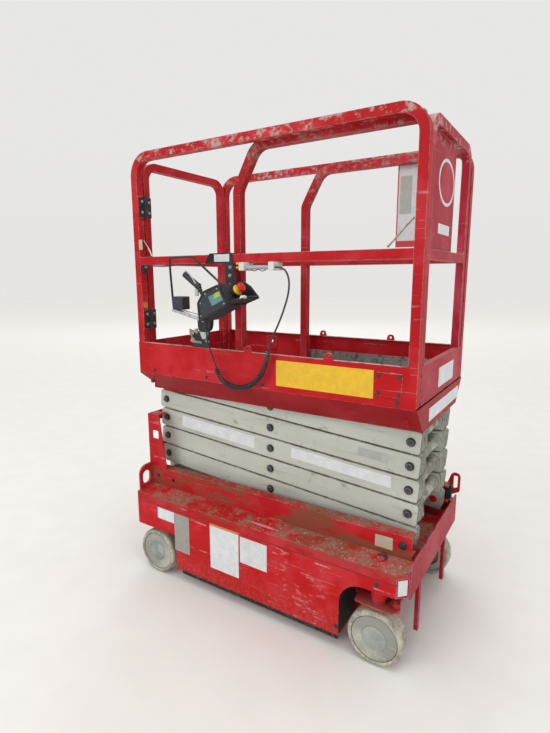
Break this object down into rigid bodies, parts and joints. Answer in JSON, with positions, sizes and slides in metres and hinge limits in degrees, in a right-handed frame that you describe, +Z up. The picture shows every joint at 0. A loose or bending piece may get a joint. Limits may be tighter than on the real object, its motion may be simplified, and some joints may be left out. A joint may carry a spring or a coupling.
{
  "type": "electric scissor lift",
  "caption": "Compact wheeled scissor lift: low steered chassis, folded scissor arm stack with a jack, and a railed platform with sliding deck, swing gate and side control box",
  "frame": {"origin": "on the floor under the middle of the outline", "axes": "+X towards the steered wheels, +Y towards the side away from the control box, +Z up"},
  "size_m": [1.373, 0.835, 1.959],
  "materials": {
    "red_paint": "worn gloss paint",
    "grey_paint": "dirty light grey paint",
    "black_paint": "black paint",
    "jack_paint": "black paint",
    "chrome_rod": "polished",
    "deck_steel": "worn tread plate",
    "tyre": "dirty non-marking rubber",
    "wheel_disc": "dull grey paint",
    "dark_plastic": "moulded plastic",
    "stop_red": "gloss plastic",
    "cable_rubber": "rubber"
  },
  "bodies": {
    "chassis": {"chassis_frame": "red_paint", "side_ledges": "red_paint", "side_covers": "red_paint", "end_plates": "red_paint", "step_columns": "red_paint", "battery_and_pump_blocks": "black_paint"},
    "outer_1": {"outer_arms_1": "grey_paint"},
    "inner_1": {"inner_arms_1": "grey_paint"},
    "outer_2": {"outer_arms_2": "grey_paint"},
    "inner_2": {"inner_arms_2": "grey_paint"},
    "outer_3": {"outer_arms_3": "grey_paint"},
    "inner_3": {"inner_arms_3": "grey_paint"},
    "outer_4": {"outer_arms_4": "grey_paint"},
    "inner_4": {"inner_arms_4": "grey_paint"},
    "outer_5": {"outer_arms_5": "grey_paint"},
    "inner_5": {"inner_arms_5": "grey_paint"},
    "platform": {"platform_floor": "deck_steel", "platform_underframe": "red_paint", "toe_boards": "red_paint", "guard_rail_left": "red_paint", "guard_rail_right": "red_paint", "control_bracket": "black_paint", "control_box": "dark_plastic", "stop_button": "stop_red", "cable_coil": "cable_rubber", "cable_leads": "cable_rubber", "cable_clamps": "dark_plastic"},
    "sliding_deck": {"sliding_deck": "deck_steel", "front_toe_board": "red_paint", "sliding_side_rails": "red_paint", "sliding_front_frame": "red_paint"},
    "gate": {"gate_frame": "red_paint"},
    "jack_barrel": {"jack_barrel": "jack_paint"},
    "jack_rod": {"jack_rod": "chrome_rod"},
    "knuckle_left": {"knuckle_left": "red_paint"},
    "knuckle_right": {"knuckle_right": "red_paint"},
    "track_rod": {"track_rod": "black_paint"},
    "wheel_front_left": {"tyre_front_left": "tyre", "disc_front_left": "wheel_disc"},
    "wheel_front_right": {"tyre_front_right": "tyre", "disc_front_right": "wheel_disc"},
    "wheel_rear_left": {"tyre_rear_left": "tyre", "disc_rear_left": "wheel_disc"},
    "wheel_rear_right": {"tyre_rear_right": "tyre", "disc_rear_right": "wheel_disc"}
  },
  "joints": [
    {"name": "lift", "type": "hinge", "parent": "chassis", "child": "outer_1", "pos_m": [0.6005, 0.0375, 0.4562], "axis": [0, 1, 0], "range_deg": [0, 54.5]},
    {"name": "scissor_mid_1", "type": "hinge", "parent": "outer_1", "child": "inner_1", "pos_m": [-0.013, 0.0375, 0.50305], "axis": [0, 1, 0], "range_deg": [-109, 0]},
    {"name": "scissor_end_1", "type": "hinge", "parent": "inner_1", "child": "outer_2", "pos_m": [0.6005, 0.0375, 0.5499], "axis": [0, 1, 0], "range_deg": [0, 109]},
    {"name": "scissor_mid_2", "type": "hinge", "parent": "outer_2", "child": "inner_2", "pos_m": [-0.013, 0.0375, 0.59675], "axis": [0, 1, 0], "range_deg": [-109, 0]},
    {"name": "scissor_end_2", "type": "hinge", "parent": "inner_2", "child": "outer_3", "pos_m": [0.6005, 0.0375, 0.6436], "axis": [0, 1, 0], "range_deg": [0, 109]},
    {"name": "scissor_mid_3", "type": "hinge", "parent": "outer_3", "child": "inner_3", "pos_m": [-0.013, 0.0375, 0.69045], "axis": [0, 1, 0], "range_deg": [-109, 0]},
    {"name": "scissor_end_3", "type": "hinge", "parent": "inner_3", "child": "outer_4", "pos_m": [0.6005, 0.0375, 0.7373], "axis": [0, 1, 0], "range_deg": [0, 109]},
    {"name": "scissor_mid_4", "type": "hinge", "parent": "outer_4", "child": "inner_4", "pos_m": [-0.013, 0.0375, 0.78415], "axis": [0, 1, 0], "range_deg": [-109, 0]},
    {"name": "scissor_end_4", "type": "hinge", "parent": "inner_4", "child": "outer_5", "pos_m": [0.6005, 0.0375, 0.831], "axis": [0, 1, 0], "range_deg": [0, 109]},
    {"name": "scissor_mid_5", "type": "hinge", "parent": "outer_5", "child": "inner_5", "pos_m": [-0.013, 0.0375, 0.87785], "axis": [0, 1, 0], "range_deg": [-109, 0]},
    {"name": "platform_level", "type": "hinge", "parent": "inner_5", "child": "platform", "pos_m": [0.6005, 0.0375, 0.9247], "axis": [0, 1, 0], "range_deg": [0, 54.5]},
    {"name": "jack_tilt", "type": "hinge", "parent": "chassis", "child": "jack_barrel", "pos_m": [0.1525, 0.0375, 0.4262], "axis": [0, 1, 0], "range_deg": [0, 68.73]},
    {"name": "jack_stroke", "type": "slide", "parent": "jack_barrel", "child": "jack_rod", "axis": [-0.9124, 0, 0.4094], "range_m": [0, 0.17933]},
    {"name": "deck_extension", "type": "slide", "parent": "platform", "child": "sliding_deck", "axis": [1, 0, 0], "range_m": [0, 0.5]},
    {"name": "gate_swing", "type": "hinge", "parent": "platform", "child": "gate", "pos_m": [-0.621, -0.25875, 1.5], "axis": [0, 0, 1], "range_deg": [-85, 0]},
    {"name": "steer_left", "type": "hinge", "parent": "chassis", "child": "knuckle_left", "pos_m": [0.547, -0.2975, 0.236], "axis": [0, 0, 1], "range_deg": [-45, 45]},
    {"name": "steer_right", "type": "hinge", "parent": "chassis", "child": "knuckle_right", "pos_m": [0.547, 0.3725, 0.236], "axis": [0, 0, 1], "range_deg": [-45, 45]},
    {"name": "track_rod_pin", "type": "hinge", "parent": "knuckle_left", "child": "track_rod", "pos_m": [0.612, -0.2975, 0.25], "axis": [0, 0, 1], "range_deg": [-45, 45]},
    {"name": "roll_front_left", "type": "hinge", "parent": "knuckle_left", "child": "wheel_front_left", "pos_m": [0.547, -0.305, 0.108], "axis": [0, 1, 0], "continuous": true},
    {"name": "roll_front_right", "type": "hinge", "parent": "knuckle_right", "child": "wheel_front_right", "pos_m": [0.547, 0.38, 0.108], "axis": [0, 1, 0], "continuous": true},
    {"name": "roll_rear_left", "type": "hinge", "parent": "chassis", "child": "wheel_rear_left", "pos_m": [-0.566, -0.305, 0.108], "axis": [0, 1, 0], "continuous": true},
    {"name": "roll_rear_right", "type": "hinge", "parent": "chassis", "child": "wheel_rear_right", "pos_m": [-0.566, 0.38, 0.108], "axis": [0, 1, 0], "continuous": true}
  ],
  "couplings": [
    {"joint": "scissor_mid_1", "follows": "lift", "ratio": -2},
    {"joint": "scissor_end_1", "follows": "lift", "ratio": 2},
    {"joint": "scissor_mid_2", "follows": "lift", "ratio": -2},
    {"joint": "scissor_end_2", "follows": "lift", "ratio": 2},
    {"joint": "scissor_mid_3", "follows": "lift", "ratio": -2},
    {"joint": "scissor_end_3", "follows": "lift", "ratio": 2},
    {"joint": "scissor_mid_4", "follows": "lift", "ratio": -2},
    {"joint": "scissor_end_4", "follows": "lift", "ratio": 2},
    {"joint": "scissor_mid_5", "follows": "lift", "ratio": -2},
    {"joint": "platform_level", "follows": "lift", "ratio": 1},
    {"joint": "jack_tilt", "follows": "lift", "ratio": 1.261},
    {"joint": "jack_stroke", "follows": "lift", "m_per_rad": 0.188},
    {"joint": "steer_right", "follows": "steer_left", "ratio": 1},
    {"joint": "track_rod_pin", "follows": "steer_left", "ratio": -1}
  ]
}
